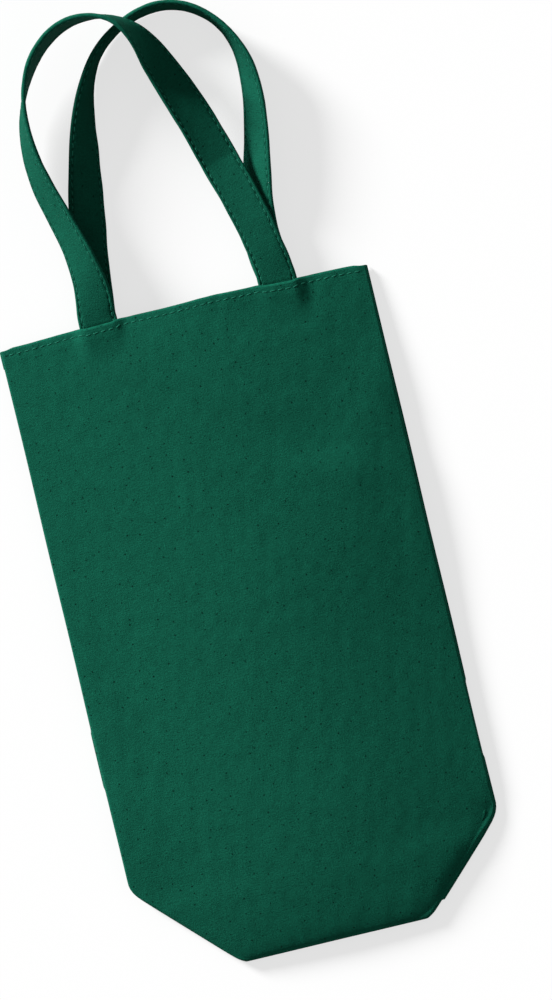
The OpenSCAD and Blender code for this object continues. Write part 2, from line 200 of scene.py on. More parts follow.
def grid_quads(rows, cols, start=0, turned=False):
    """The four corners of each face of a grid whose points are numbered row by row."""
    n = np.arange(rows * cols).reshape(rows, cols) + start
    faces = np.stack([n[:-1, :-1], n[:-1, 1:], n[1:, 1:], n[1:, :-1]], axis=-1).reshape(-1, 4)
    return faces[:, ::-1] if turned else faces


def border(rows, cols):
    """The numbers of a grid's outer points, once round, counter-clockwise from its start."""
    n = np.arange(rows * cols).reshape(rows, cols)
    return np.concatenate([n[0, :-1], n[:-1, -1], n[-1, :0:-1], n[:0:-1, 0]])


def put_mesh(name, points, faces, uv, worn_and_shaded, slot_name):
    """Puts whole arrays of points (in millimetres), faces, map places and marks into a mesh
    object at the origin. A mark above 0 is a rubbed edge; below 0 it is painted shade in a needle
    hole."""
    mesh = bpy.data.meshes.new(name)
    corners = np.concatenate([f.reshape(-1) for f in faces]).astype(np.int32)
    sizes = np.concatenate([np.full(len(f), f.shape[1]) for f in faces]).astype(np.int32)
    starts = np.concatenate([[0], np.cumsum(sizes)[:-1]]).astype(np.int32)
    mesh.vertices.add(len(points))
    mesh.vertices.foreach_set("co", (points * MM).astype(np.float32).reshape(-1))
    mesh.loops.add(len(corners))
    mesh.loops.foreach_set("vertex_index", corners)
    mesh.polygons.add(len(sizes))
    mesh.polygons.foreach_set("loop_start", starts)
    mesh.polygons.foreach_set("use_smooth", np.ones(len(sizes), bool))
    layer = mesh.uv_layers.new(name="cloth_map")
    layer.data.foreach_set("uv", (uv[corners] * MM).astype(np.float32).reshape(-1))
    # One attribute holds the rubbed edges (above 0) and the painted shade of the needle holes
    # (below 0)
    mark = mesh.attributes.new("wear_and_hole_shade", "FLOAT", "POINT")
    mark.data.foreach_set("value", worn_and_shaded.astype(np.float32))
    mesh.update(calc_edges=True)
    mesh.validate()
    mesh.materials.append(material(slot_name))
    piece = bpy.data.objects.new(name, mesh)
    bpy.context.scene.collection.objects.link(piece)
    return piece


def shell(outer, uv, thick, facing, holes=None, rings=6, border_wear=0.6):
    """A closed cloth: the outer grid, the same grid moved in by its thickness along the
    normals, and between their borders a half round as wide as the cloth is thick there. The
    needle holes are marked on both grids for painted shade. Facing is 1 where outer faces up
    and -1 where it faces down."""
    rows, cols = outer.shape[:2]
    normal = grid_normals(outer) * facing
    inner = outer - normal * thick[..., None]
    loop = border(rows, cols)
    outer_rim, inner_rim, n = (v.reshape(-1, 3)[loop] for v in (outer, inner, normal))
    tangent = np.roll(outer_rim, -1, axis=0) - np.roll(outer_rim, 1, axis=0)
    side = unit(np.cross(tangent, n) * facing)
    half = np.linalg.norm(outer_rim - inner_rim, axis=1)[:, None] / 2
    turns = np.linspace(0, np.pi, rings + 1)[1:-1, None, None]
    round_edge = (outer_rim + inner_rim) / 2 + half * (np.cos(turns) * n + np.sin(turns) * side)
    count = rows * cols
    between = 2 * count + np.arange((rings - 1) * len(loop)).reshape(rings - 1, -1)
    ring = np.vstack([loop[None], between, loop[None] + count])
    after = np.roll(ring, -1, axis=1)
    strip = np.stack([ring[1:], after[1:], after[:-1], ring[:-1]], axis=-1).reshape(-1, 4)
    if facing < 0:
        strip = strip[:, ::-1]
    faces = np.concatenate([grid_quads(rows, cols, 0, facing < 0),
                            grid_quads(rows, cols, count, facing > 0), strip])
    flat = uv.reshape(-1, 2)
    away = np.zeros((len(loop), 2))
    row, col = np.divmod(loop, cols)
    away[row == 0] = (0, -1)
    away[row == rows - 1] = (0, 1)
    away[col == 0] = (-1, 0)
    away[col == cols - 1] = (1, 0)
    round_uv = flat[loop] + away * half * turns
    points = np.concatenate([v.reshape(-1, 3) for v in (outer, inner, round_edge)])
    uvs = np.concatenate([flat, flat, round_uv.reshape(-1, 2)])
    worn_and_shaded = np.zeros(len(points))
    # Needle holes get a mark below 0, which paints shade into them
    if holes is not None:
        worn_and_shaded[:2 * count] = -np.tile(holes.reshape(-1), 2)
    worn_and_shaded[loop] = border_wear
    worn_and_shaded[2 * count:] = 1.0
    return points, [faces], uvs, worn_and_shaded


def carried(profile, middle, across, out, worn_and_shaded):
    """A closed profile carried along a path: each ring is the path's point, plus the profile's
    first number across and its second number outwards. The two ends are closed by fans."""
    shape = profile[None] if profile.ndim == 2 else profile
    rings = middle[:, None] + shape[..., 0:1] * across[:, None] + shape[..., 1:2] * out[:, None]
    count, around = rings.shape[:2]
    n = np.arange(count * around).reshape(count, around)
    after = np.roll(n, -1, axis=1)
    sides = np.stack([n[:-1], after[:-1], after[1:], n[1:]], axis=-1).reshape(-1, 4)
    first, last = count * around, count * around + 1
    fan_a = np.stack([np.full(around, first), after[0], n[0]], axis=-1)
    fan_b = np.stack([np.full(around, last), n[-1], after[-1]], axis=-1)
    points = np.concatenate([rings.reshape(-1, 3), [rings[0].mean(0), rings[-1].mean(0)]])
    step = np.linalg.norm(np.diff(shape[0], axis=0, append=shape[0][:1]), axis=1)
    round_way = np.concatenate([[0], np.cumsum(step)[:-1]])
    far = run_lengths(middle)
    uv = np.stack(np.broadcast_arrays(round_way[None], far[:, None]), axis=-1).reshape(-1, 2)
    uv = np.concatenate([uv, [[0, 0], [0, far[-1]]]])
    marks = np.concatenate([np.broadcast_to(worn_and_shaded, (count, around)).reshape(-1), [1, 1]])
    return points, [sides, fan_a, fan_b], uv, marks


def joined(parts):
    """Several built pieces as one: the faces of each count on from the points before it."""
    shifts = np.cumsum([0] + [len(part[0]) for part in parts])
    faces = [f + shift for part, shift in zip(parts, shifts) for f in part[1]]
    points, uv, worn_and_shaded = (np.concatenate([part[k] for part in parts]) for k in (0, 2, 3))
    return points, faces, uv, worn_and_shaded


def stitch_block(s, places, along, out, flatness, seed):
    """Stitches as grains: each is a six-sided ring carried along its length, thick in the
    middle, whose ends bend down into the cloth. One closed grain is worked out and set at
    every place with its own direction, with a little slant and length of its own. The
    flatness is a grain's height as a share of the thread's width."""
    usual_slant, slant_spread, length_spread, map_gap = 0.07, 0.05, 0.04, 3.0
    rng = np.random.default_rng(seed)
    along = unit(along)
    out = unit(out - along * np.sum(along * out, axis=1, keepdims=True))
    across = np.cross(out, along)
    slant = rng.normal(usual_slant, slant_spread, len(places))[:, None]
    along = along * np.cos(slant) + across * np.sin(slant)
    across = np.cross(out, along)
    t = np.array([-1.0, -0.86, -0.5, 0.0, 0.5, 0.86, 1.0])
    size = np.array([0.35, 0.72, 0.97, 1.0, 0.97, 0.72, 0.35])
    sink = np.array([-0.9, -0.42, -0.08, 0.0, -0.08, -0.42, -0.9])
    around = 6
    count = len(t) * around
    turn = np.arange(around) * 2 * np.pi / around
    high = s.thread_width * flatness
    u = np.repeat(t * s.stitch_length / 2, around)
    v = (size[:, None] * np.cos(turn)[None] * s.thread_width / 2).reshape(-1)
    w = (sink[:, None] * high + size[:, None] * np.sin(turn)[None] * high / 2).reshape(-1)
    own = 1 + rng.normal(0, length_spread, len(places))[:, None, None]
    grain = (places[:, None] + own * u[None, :, None] * along[:, None]
             + v[None, :, None] * across[:, None] + w[None, :, None] * out[:, None])
    n = np.arange(count).reshape(-1, around)
    after = np.roll(n, -1, axis=1)
    sides = np.stack([n[:-1], n[1:], after[1:], after[:-1]], axis=-1).reshape(-1, 4)
    shift = (np.arange(len(places)) * count)[:, None, None]
    quads = (sides[None] + shift).reshape(-1, 4)
    ends = (np.stack([n[0], n[-1][::-1]])[None] + shift).reshape(-1, around)
    uv = np.stack([np.tile(u, len(places)) + np.repeat(np.arange(len(places)) * map_gap, count),
                   np.tile(turn * s.thread_width / 2, len(t) * len(places))], axis=-1)
    return grain.reshape(-1, 3), [quads, ends], uv, np.zeros(len(places) * count)


def level_stitches(s, start, end, up, seed, flatness=0.6):
    """A straight row of stitches a pitch apart on a level face, which looks up or down."""
    line = np.array([start, end], float)
    far = run_lengths(line)
    at = np.arange(s.stitch_length / 2, far[-1], s.stitch_pitch)
    out = np.tile([0, 0, float(up)], (len(at), 1))
    return stitch_block(s, *placed(at, far, line), out, flatness, seed)


def hem_row(s, x, y, z):
    """Places a pitch apart across the bag on a line of points, with the line's direction and
    the way up."""
    line = np.stack([x, y, z], axis=-1)
    at = np.arange(s.row_start, x[-1], s.stitch_pitch)
    return *placed(at, x, line), np.tile([0, 0, 1.0], (len(at), 1))


def make_sizes():
    """The panel's sizes in millimetres, with the places that follow from them."""
    given = bpy.context.scene.carrier_sizes
    s = SimpleNamespace(**{k: getattr(given, k) * 1000 for k in CarrierSizes.__annotations__})
    s.half = s.bag_width / 2
    s.base_y = -s.bag_height / 2
    s.mouth_y = s.bag_height / 2
    s.base_half = (s.bag_width - s.base_depth) / 2
    s.corner_y = s.base_y + s.base_depth / 2
    # The straps sit a little to the right of the bag's middle
    s.leg_middle = 3.3
    s.leg_x = (s.leg_middle - s.leg_gap / 2, s.leg_middle + s.leg_gap / 2)
    # The undersides of the straps' sewn ends, in the front hem (1) and on the back hem (-1)
    s.tail_z = {1: 6.586, -1: 2.4}
    # The hem's two turned layers, and the place of the first stitch of its row
    s.hem_t = 2 * s.cloth_thickness
    s.row_start = 5.5 - s.half
    # Along the strap to the first stitch of its rows, and from its edge to the row
    s.strap_row_start = 11.7
    s.strap_row_inset = 2.0
    s.seam_width = 8.0
    return s


def cut_out(hand):
    """How far out the slanted cut of each hand lies, from where the base depth puts it."""
    return np.where(hand > 0, 2.8, -0.1)


def outline_half(s, y, hand):
    """Half the width at a place along the bag, for one hand: straight sides, cut at 45 degrees
    towards the base, with rounded bends. The two cuts differ a little."""
    bend, base_bend, base_draw = 5.0, 3.5, 1.5
    half = soft_min(s.half, s.base_half + cut_out(hand) + (y - s.base_y), bend)
    return half - base_draw * (1 - np.clip((y - s.base_y) / base_bend, 0, 1)) ** 2


def strap_span(s, x, spare=1.0, soft=5.0):
    """1 where a strap is sewn into the hem, 0 elsewhere along the mouth."""
    return sum(window(x, c - s.strap_width / 2 - spare, c + s.strap_width / 2 + spare, soft)
               for c in s.leg_x)


def mouth_line(s, x, side):
    """The mouth edge: it bows out in the middle, and the front's dips where a strap lies
    over it. The back's lies a little lower."""
    bow, dip, back_drop = 2.3, 1.0, 1.4
    y = s.mouth_y + bow / 2 - bow * (x / s.half) ** 2
    if side > 0:
        return y - dip * strap_span(s, x, -1.0, 7.0) + ripples(x, 0, 5, 7, 20, 90, 0.12)
    return y - back_drop + ripples(x, 0, 6, 7, 20, 90, 0.1)


def hem_relief(s, x, d, seed):
    """Relief of the turned edge at distance d from the mouth: a raised band, the valley that
    the stitches pull into it, a faint step where the turned cloth ends, and small puckers."""
    band = 0.1 * window(d, -3, s.hem_depth + 0.5, 4.5)
    row = -0.12 * needle_holes(s, x - s.row_start, d - s.stitch_inset)
    step = -0.03 * bell(d - s.hem_depth - 1.2, 1.2)
    pucker = ripples(x, 0.5 * d, seed, 9, 6, 16, 0.07) * bell(d - s.stitch_inset, 5.5)
    return band + row + step + pucker


def fold_share(s, y, soft=18):
    """1 at the folded base and slanted corners, 0 along the straight sides."""
    return 1 - ease((y - s.corner_y + soft) / soft)


def needle_holes(s, along, off):
    """1 where the thread goes into the cloth, between two stitches of a row: along is the
    distance from the row's first stitch and off the distance from the row."""
    return (0.5 - 0.5 * np.cos(2 * np.pi * along / s.stitch_pitch)) ** 3 * bell(off, 0.5)


def front_height(s, x, y):
    """Height of the outside of the front: a rim, then a small quarter round up from every edge,
    then a flat dome whose fall grows towards the sides and the base, with swells and fine
    ripples. It is held up where the straps are sewn in."""
    half = outline_half(s, y, np.sign(x))
    p = fold_share(s, y)
    side_gap = np.maximum(half - np.abs(x), 0) * (1 - 0.29 * p)
    base_gap = np.maximum(y - s.base_y, 0)
    d = mouth_line(s, x, 1) - y
    edge, mean_cut_out, seat_spare = 3.6, 1.3, 0.15
    rim = 1.35 + 1.85 * p
    round_side = 0.9 + 0.1 * ease(x / 40 + 0.5) + 1.3 * p
    rise = quarter(side_gap / round_side) * quarter(base_gap / 2.5)
    full = s.mouth_full + (s.body_full - s.mouth_full) * ease(d / 90) - rim - edge
    cut = (base_gap + s.base_half + mean_cut_out - np.abs(x)) * COS_45
    dome = (full * (1 - np.abs(x / (s.half + 2)) ** 2.2)
            * quarter((cut + 6) / 80) * quarter((base_gap + 4) / 90))
    dome = dome - edge * 0.75 * np.exp(-soft_min(base_gap, cut, 8.0) / 6) - np.exp(-d / 9)
    soft = (swells(x, y, FRONT_FOLDS) + ripples(x, y, 12, 40, 7, 20, 0.05)) * s.wrinkle
    z = np.maximum(rim + (edge + np.maximum(dome, -edge / 3) + soft) * rise, rim + 0.4 * rise)
    seat = s.tail_z[1] + s.strap_thickness + s.cloth_thickness + s.hem_t + seat_spare
    hold = strap_span(s, x, 1.0, 9.0) * (1 - ease((d - 5) / 22))
    z = z + hold * (seat - z)
    return z + hem_relief(s, x, d, 21) * ease(side_gap / 5)


def back_height(s, x, y):
    """Height of the outside of the back, which lies on the table and turns up at its edges."""
    half = outline_half(s, y, np.sign(x))
    p = fold_share(s, y)
    side_gap = np.maximum(half - np.abs(x), 0)
    base_gap = np.maximum(y - s.base_y, 0)
    rim = 0.45 + 0.55 * p
    rise = quarter(side_gap / (1.6 + 0.9 * p)) * quarter(base_gap / 2.5)
    level = 0.06 + ripples(x, y, 31, 20, 30, 90, 0.05) * ease(side_gap / 12)
    d = mouth_line(s, x, -1) - y
    row = 0.25 * bell(d - s.stitch_inset, 0.9) + 0.1 * bell(d - s.hem_depth - 0.8, 0.8)
    return rim + (level + row * ease(side_gap / 5) - rim) * rise


def cloth_grid(s, side):
    """The grid of one cloth, finer near its edges and hem: the places across and along, the
    distance from the mouth on the flat cloth, and the share across from -1 to 1."""
    near_side = [0, 0.05, 0.19, 0.42, 0.74, 1.13, 1.58, 2.1, 2.7, 3.4, 4.2, 5.0]
    gaps = steps(s.half, near_side, 0.93)
    across = np.concatenate([-(1 - gaps / s.half), (1 - gaps / s.half)[::-1][1:]])
    near_mouth = [0, 0.35, 0.8, 1.3, 1.9, 2.5, 3.1, 3.6, 4.0, 4.4, 4.7, 5.0, 5.3, 5.6, 6.0,
                  6.5, 7.0, 7.4, 7.8, 8.2, 8.7, 9.3, 10.2]
    near_base = [0, 0.1, 0.35, 0.75, 1.3, 2.0, 2.9, 3.9, 5.0, 6.2, 7.4, 8.6, 10, 11.6, 13.4]
    down = steps(s.bag_height, near_mouth, 2.25, near_base)
    d, a = np.meshgrid(down[::-1], across, indexing="ij")
    overhang, base_in = (0.45, 0.5) if side > 0 else (0.15, 0.7)
    mouth_in, shift = 1.4, 0.05
    flat_y = s.mouth_y - d
    inset = s.cloth_thickness / 2 - overhang
    x = a * (outline_half(s, flat_y, np.sign(a)) - inset) - shift
    pull = 1 - ease(d / 40)
    y = flat_y + (mouth_line(s, x, side) - s.mouth_y - mouth_in) * pull
    y = y + base_in * (1 - ease((flat_y - s.base_y) / 12))
    wander = ripples(y, 40 * np.sign(a), 7, 8, 50, 180, 0.16)
    x = x + wander * ease((np.abs(a) - 0.8) / 0.2) * np.sign(a)
    return x, y, d, a


def cloth_thickness(s, x, y, d, hem):
    """Thickness of a cloth: one layer, more in the turned hem and at the folded base."""
    side_gap = np.maximum(outline_half(s, y, np.sign(x)) - np.abs(x), 0)
    base_gap = np.maximum(y - s.base_y, 0)
    fold = fold_share(s, y) * (1 - ease(np.minimum(side_gap, base_gap) / 15))
    turned = window(d, -9, 8, 0.9) * ease((side_gap - 2.5) / 5)
    return np.maximum(s.cloth_thickness + (hem - s.cloth_thickness) * turned,
                      s.cloth_thickness + 1.2 * fold)


def make_cloth(s, side):
    """The front or the back cloth with its hem, as one closed shell. The back faces down."""
    x, y, d, a = cloth_grid(s, side)
    flat_y = s.mouth_y - d
    uv = np.stack([a * outline_half(s, flat_y, a), flat_y], axis=-1)
    hem = s.cloth_thickness + s.hem_t
    if side > 0:
        z = front_height(s, x, y)
        # The hem row's needle holes, to be darkened as painted shade
        holes = needle_holes(s, x - s.row_start, mouth_line(s, x, 1) - y - s.stitch_inset)
    else:
        z = back_height(s, x, y)
        holes = None
        # The bag lies on this hem and presses it a little flatter
        hem -= 0.15
    thick = cloth_thickness(s, x, y, d, hem)
    return shell(np.stack([x, y, z], axis=-1), uv, thick, side, holes)


def make_base(s):
    """The base cloth, folded in half inside the bag: a low leaf, a half round at the inner
    fold and a high leaf, as wide as the bag is there."""
    start, fold, side_gap = s.base_y + 6, s.corner_y - 1.4, 5.5
    low_z, high_z, nose_z, nose_r = 2.05, 4.2, 3.53, 0.68
    run = np.linspace(start, fold, 34)
    rise = ease((run - start) / 9)
    low = np.stack([run, low_z + 0.8 * rise], axis=-1)
    turn = np.linspace(-np.pi / 2, np.pi / 2, 9)[1:-1]
    nose = np.stack([fold + nose_r * np.cos(turn), nose_z + nose_r * np.sin(turn)], axis=-1)
    high = np.stack([run, high_z - 0.9 * (1 - rise)], axis=-1)
    line = np.concatenate([low, nose, high[::-1]])
    y, z = line[:, :1], line[:, 1:]
    share = np.linspace(-1, 1, 61)[None]
    x = share * (outline_half(s, y, share) - side_gap)
    wave = ripples(x, 1.3 * y, 41, 12, 18, 60, 0.07) * ease((y - start) / 12)
    grid = np.stack(np.broadcast_arrays(x, y, z + wave), axis=-1)
    grid = grid - grid_normals(grid) * (s.cloth_thickness / 2)
    uv = np.stack(np.broadcast_arrays(x, run_lengths(line)[:, None]), axis=-1)
    return shell(grid, uv, np.full(grid.shape[:2], s.cloth_thickness), -1)


def allowance(s, x, y_from, y_to, z, thick, seed):
    """A pressed seam allowance: two layers with a groove between their raw edges, carried in a
    straight line that wavers a little."""
    path_y = np.linspace(y_from, y_to, max(int(abs(y_to - y_from) / 1.5), 4))
    waver = ripples(path_y, 0, seed, 8, 12, 50, 0.18)
    middle = np.stack([x + waver, path_y, np.full(len(path_y), z + thick / 2)], axis=-1)
    turn = np.linspace(0, 2 * np.pi, 33)[:-1]
    a = signed_power(np.cos(turn), 0.25) * s.seam_width / 2
    b = signed_power(np.sin(turn), 0.45) * thick / 2
    a = a - np.sign(a) * 0.35 * bell(np.abs(b), 0.18)
    edge_worn = ease((np.abs(a) - s.seam_width / 2 + 1.2) / 1.2)
    return carried(np.stack([a, b], axis=-1), middle, np.tile([1.0, 0, 0], (len(path_y), 1)),
                   np.tile([0, 0, 1.0], (len(path_y), 1)), edge_worn)


def spline(p, per_span=40):
    """A uniform cubic curve along a list of points: each place on it mixes four of them."""
    p = np.concatenate([[2 * p[0] - p[1]], p, [2 * p[-1] - p[-2]]])
    u = np.linspace(0, len(p) - 3, (len(p) - 3) * per_span + 1)
    i = np.minimum(u.astype(int), len(p) - 4)
    t = (u - i)[:, None]
    return (p[i] * (1 - t) ** 3 + p[i + 1] * (3 * t ** 3 - 6 * t * t + 4)
            + p[i + 2] * (-3 * t ** 3 + 3 * t * t + 3 * t + 1) + p[i + 3] * t ** 3) / 6


def smoothed(rows):
    """Rows of numbers, each mixed with three rows before and after it by a raised cosine."""
    share = np.hanning(9)[1:-1]
    share = share / share.sum()
    padded = np.concatenate([2 * rows[:1] - rows[3:0:-1], rows, 2 * rows[-1:] - rows[-2:-5:-1]])
    columns = [np.convolve(padded[:, k], share, "valid") for k in range(rows.shape[1])]
    return np.stack(columns, axis=-1)


def strap_path(s, table, side):
    """The middle line of a strap with its sewn ends: a curve along the route's points, straight
    in the hem, taken at even steps, with the way across, the way out and the distances."""
    start, tail_length, spacing = 1.5, 12.0, 0.6
    share = np.array(table, float)
    ground, share_z = (s.tail_z[1], s.strap_width) if side > 0 else (0, s.tail_z[-1])
    q = spline(np.stack([s.leg_middle + share[:, 0] * s.leg_gap / 2,
                         s.mouth_y + start + share[:, 1] * (s.handle_reach - start),
                         ground + share[:, 2] * share_z, share[:, 3]], axis=-1))
    tilt = np.radians(q[:, 3])
    q[:, 2] += (s.strap_width / 2 * np.abs(np.sin(tilt))
                + s.strap_thickness / 2 * np.abs(np.cos(tilt)))
    tail = np.linspace(s.mouth_y - tail_length, s.mouth_y + start, 30)[:-1]
    first = np.tile(q[0], (len(tail), 1))
    last = np.tile(q[-1], (len(tail), 1))
    first[:, 1], last[:, 1] = tail, tail[::-1]
    q = np.concatenate([first, q, last])
    far = run_lengths(q[:, :3])
    even = np.linspace(0, far[-1], int(round(far[-1] / spacing)) + 1)
    q = smoothed(sampled(even, far, q))
    run = unit(np.gradient(q[:, :3], axis=0))
    level = unit(np.stack([run[:, 1], -run[:, 0], 0 * run[:, 0]], axis=-1))
    up = np.cross(level, run)
    tilt = np.radians(q[:, 3])[:, None]
    across = level * np.cos(tilt) + up * side * np.sin(tilt)
    out = up * np.cos(tilt) - level * side * np.sin(tilt)
    return q[:, :3], across, out, even


def curled(s, a, b, turn, margin=4.5):
    """Bends the outer margin of a strap away from its face: past the margin's line the flat
    strap follows an arc that has turned by the given angle at the outer edge. It gives the two
    places and the angle turned at each."""
    start = margin - s.strap_width / 2
    over = np.maximum(start - a, 0)
    bend = turn / margin + 1e-6
    at = bend * over
    return (np.maximum(a, start) - np.sin(at) / bend - b * np.sin(at),
            b * np.cos(at) - (1 - np.cos(at)) / bend, at)


def curl_turn(side, far):
    """How far the outer margin is bent along a strap, in radians: only the back strap's left
    leg leans over so far that its margin folds back."""
    usual, leaning = 0.12, 1.15
    return (leaning * window(far, 78, 166, 36) if side < 0 else 0 * far) + usual


def strap_profile(s):
    """A strap's outline from its outer edge to its inner edge: the places across, half of the
    thickness at each, with rounded folds and a groove along each row of stitches."""
    half = s.strap_width / 2
    fine = np.array([0, 0.03, 0.12, 0.3, 0.55, 0.85, 1.2, 1.5, 1.75, 2.0, 2.25, 2.5, 2.9, 3.6,
                     5.0, 7.2])
    a = np.concatenate([-half + fine, [0.0], half - fine[::-1]])
    edge_gap = half - np.abs(a)
    rows = (0.3 * bell(edge_gap - s.strap_row_inset, 0.55) - 0.1 * bell(edge_gap - 0.9, 0.5)
            + 0.05 * bell(edge_gap - 5, 4))
    return a, s.strap_thickness / 2 * quarter(edge_gap) ** 0.9 - rows


def make_strap(s, table, side, seed):
    """A strap from one sewn end to the other: its outline carried along the path, pulled in
    along the stitch rows, puckered between the stitches, pressed down where it leaves the hem
    and a little uneven."""
    press_at, press_depth, press_width = 11.3, 0.4, 0.9
    middle, across, out, far = strap_path(s, table, side)
    a, b = strap_profile(s)
    top = np.stack([a, b], axis=-1)
    under = np.stack([a[-2:0:-1], -b[-2:0:-1]], axis=-1)
    profile = np.concatenate([top[::-1], under[::-1]])
    gap = s.strap_width / 2 - np.abs(profile[:, 0])
    face = np.sign(profile[:, 1])
    f, g = far[:, None], profile[None, :, 0]
    holes = needle_holes(s, f - s.strap_row_start, gap[None] - s.strap_row_inset)
    pull = (-0.16 * holes + ripples(f, 2.2 * g, seed, 14, 5, 22, 0.045)
            + ripples(f, 1.2 * g, seed + 1, 8, 2, 5, 0.012))
    press = -press_depth * (bell(f - press_at, press_width)
                            + bell(far[-1] - f - press_at, press_width))
    lift = face * (pull + press * (face > 0)) * ease(gap / 1.2)
    sway = ripples(f, 0, seed + 2, 8, 18, 80, 0.16)
    breadth = 1 + ripples(f, 0, seed + 3, 8, 10, 60, 0.006)
    a, b, _ = curled(s, g, profile[None, :, 1] + lift, curl_turn(side, f))
    # Rubbed edges lighten; the needle holes get painted shade (a mark below 0)
    worn_and_shaded = ease((1.3 - gap) / 1.1) - holes
    return carried(np.stack([a * breadth + sway, b], axis=-1), middle, across, out, worn_and_shaded)


def strap_rows(s, table, side, edge):
    """Places of the stitches along one edge of a strap, on both of its faces, with the row's
    direction and the way out at each."""
    end_gap, sunk = 9.5, 0.06
    middle, across, out, far = strap_path(s, table, side)
    a, b, bent = curled(s, edge * (s.strap_width / 2 - s.strap_row_inset) + 0 * far, 0 * far,
                        curl_turn(side, far))
    line = middle + across * a[:, None] + out * b[:, None]
    out = out * np.cos(bent)[:, None] - across * np.sin(bent)[:, None]
    at = np.arange(s.strap_row_start, far[-1] - end_gap, s.stitch_pitch)
    place, along = placed(at, far, line)
    up = sampled(at, far, out)
    lift = up * (s.strap_thickness / 2 - sunk)
    return (np.concatenate([place + lift, place - lift]), np.tile(along, (2, 1)),
            np.concatenate([up, -up]))


class Wire:
    """One output of a node. Adding, taking away or multiplying it makes the Math node for
    that, so that a pattern reads as a formula."""

    def __init__(self, net, socket):
        self.net = net
        self.socket = socket

    def __add__(self, other):
        return self.net.maths("ADD", self, other)

    def __radd__(self, other):
        return self.net.maths("ADD", other, self)

    def __sub__(self, other):
        return self.net.maths("SUBTRACT", self, other)

    def __rsub__(self, other):
        return self.net.maths("SUBTRACT", other, self)

    def __mul__(self, other):
        return self.net.maths("MULTIPLY", self, other)

    def __rmul__(self, other):
        return self.net.maths("MULTIPLY", other, self)

    def other(self, out):
        """Another output of the same node, by name or number."""
        return Wire(self.net, self.socket.node.outputs[out])


class Net:
    """The nodes of one material or world, made by one method."""

    def __init__(self, owner):
        self.owner = owner
        owner.use_nodes = True
        self.tree = owner.node_tree
        self.tree.nodes.clear()

    def add(self, kind, settings=None, sockets=None, out=0):
        """Makes a node of a type, sets its settings first and then its sockets, by name or
        number, and gives one of its outputs, or the node itself if it has none."""
        node = self.tree.nodes.new(kind)
        for key, value in (settings or {}).items():
            setattr(node, key, value)
        for key, value in (sockets or {}).items():
            if isinstance(value, Wire):
                self.tree.links.new(value.socket, node.inputs[key])
            else:
                node.inputs[key].default_value = value
        return Wire(self, node.outputs[out]) if len(node.outputs) else node

    def maths(self, what, a, b=0.0, clamp=False):
        """A Math node's result, kept between 0 and 1 where clamp says so."""
        return self.add("ShaderNodeMath", {"operation": what, "use_clamp": clamp}, {0: a, 1: b})

    def stretched(self, vector, x, y, z=1.0):
        """A vector with each of its numbers multiplied."""
        return self.add("ShaderNodeVectorMath", {"operation": "MULTIPLY"},
                        {0: vector, 1: (x, y, z)})

    def flat_place(self):
        """The place on the flat cloth, in millimetres, from the piece's own map."""
        return self.stretched(self.add("ShaderNodeUVMap", {"uv_map": "cloth_map"}),
                              1000.0, 1000.0)

    def band(self, value, low, high):
        """0 below low, 1 above high, eased between them."""
        return self.add("ShaderNodeMapRange", {"interpolation_type": "SMOOTHSTEP"},
                        {"Value": value, "From Min": low, "From Max": high})

    def tint(self, colour, other, share):
        """A mix of two colours by a share from 0 to 1."""
        return self.add("ShaderNodeMix", {"data_type": "RGBA"},
                        {0: share, 6: colour, 7: other}, out=2)

    def noise(self, vector, scale, detail=2.0, rough=0.5):
        """Cloudy noise from 0 to 1, whose lumps are one over the scale apart."""
        return self.add("ShaderNodeTexNoise", None, {"Vector": vector, "Scale": scale,
                        "Detail": detail, "Roughness": rough})

    def dots(self, vector, scale):
        """The distance from the nearest of scattered dots, in shares of the gap between them."""
        return self.add("ShaderNodeTexVoronoi", {"voronoi_dimensions": "2D"},
                        {"Vector": vector, "Scale": scale, "Randomness": 1.0}, out="Distance")

    def finish(self, colour, rough, height, depth, specular=0.03):
        """The surface: its colour, roughness and relief, whose height is in shares of depth."""
        bump = self.add("ShaderNodeBump", None,
                        {"Strength": 1.0, "Distance": depth, "Height": height})
        shader = self.add("ShaderNodeBsdfPrincipled", None, {
            "Base Color": colour, "Roughness": rough, "Normal": bump,
            "Specular IOR Level": specular})
        self.add("ShaderNodeOutputMaterial", None, {"Surface": shader})
        return self.owner


def shade(colour, factor):
    """A colour made darker or lighter, as the four numbers that a socket takes."""
    return tuple(float(c) * factor for c in colour[:3]) + (1.0,)


